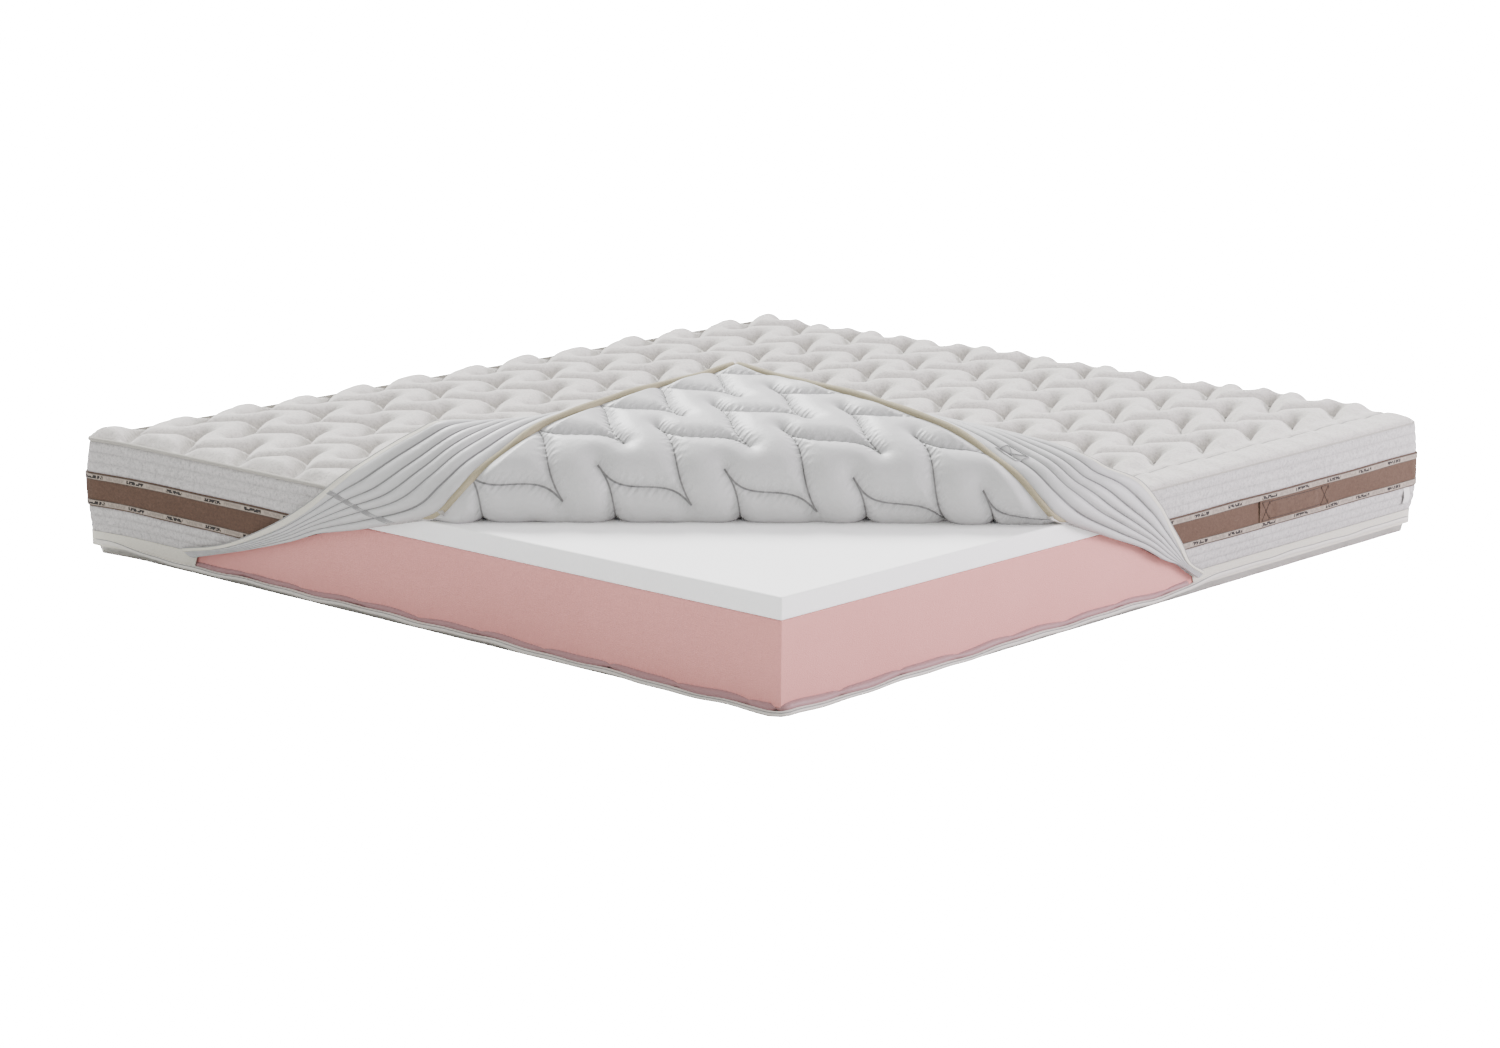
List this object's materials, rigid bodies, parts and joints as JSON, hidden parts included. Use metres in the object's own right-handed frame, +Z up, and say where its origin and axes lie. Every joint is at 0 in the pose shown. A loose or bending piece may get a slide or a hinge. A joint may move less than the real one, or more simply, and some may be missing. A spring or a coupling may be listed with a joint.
{
  "type": "memory foam mattress",
  "caption": "Two-layer memory foam mattress in a zip-off quilted cover, opened and folded back at one corner to show the foam core.",
  "frame": {"origin": "middle of the footprint, on the surface the mattress lies on", "axes": "+Z up, +Y along the length, +X across the width; the opened corner is the one at +X, -Y"},
  "size_m": [1.7998, 1.9986, 0.4191],
  "materials": {
    "base_foam": "open-cell polyurethane foam, dusty pink, matt",
    "memory_foam": "viscoelastic foam, white, matt, very smooth skin",
    "quilted_knit": "light grey melange knit quilted over wadding",
    "lining": "white non-woven quilting lining",
    "border_knit": "light grey melange knit, channel quilted",
    "brown_band": "taupe brown knit",
    "woven_ribbon": "woven ribbon with a small geometric pattern",
    "binding_tape": "beige overlock and binding tape",
    "zip_tape": "cream woven zip tape",
    "zip_coil": "grey polyester coil",
    "zip_metal": "nickel plated zinc",
    "handle_web": "taupe brown webbing",
    "label": "white satin tape"
  },
  "bodies": {
    "mattress": {"base_foam": "base_foam", "memory_foam_layer": "memory_foam", "bottom_panel": "quilted_knit", "lower_zip_tape": "zip_tape", "top_panel": "quilted_knit", "corner_roll": "lining", "border_lower_strip": "border_knit", "border_accent_band": "brown_band", "border_upper_strip": "border_knit", "band_ribbon_lower": "woven_ribbon", "band_ribbon_upper": "woven_ribbon", "top_seam_binding": "binding_tape", "upper_zip_tape": "zip_tape", "zip_coil": "zip_coil", "border_wing_left": "lining", "border_wing_right": "lining", "wing_zip_tape_left": "zip_tape", "wing_zip_tape_right": "zip_tape", "handle_right_front": "handle_web", "handle_right_rear": "handle_web", "handle_left_rear": "handle_web", "handle_left_front": "handle_web", "care_label": "label"},
    "flap": {"corner_flap": "lining", "flap_binding_left": "binding_tape", "flap_binding_right": "binding_tape"},
    "slider": {"zip_slider": "zip_metal"},
    "pull": {"zip_pull_tab": "zip_metal"}
  },
  "joints": [
    {"name": "corner_lift", "type": "hinge", "parent": "mattress", "child": "flap", "pos_m": [0.53477, -0.60186, 0.291], "axis": [0.7375, 0.6753, 0], "range_deg": [0, 30]},
    {"name": "zip_travel", "type": "slide", "parent": "mattress", "child": "slider", "axis": [0, 1, 0], "range_m": [0, 1.7]},
    {"name": "pull_flip", "type": "hinge", "parent": "slider", "child": "pull", "pos_m": [-0.8989, -0.908, 0.03665], "axis": [0, 0, 1], "range_deg": [-150, 0]}
  ]
}
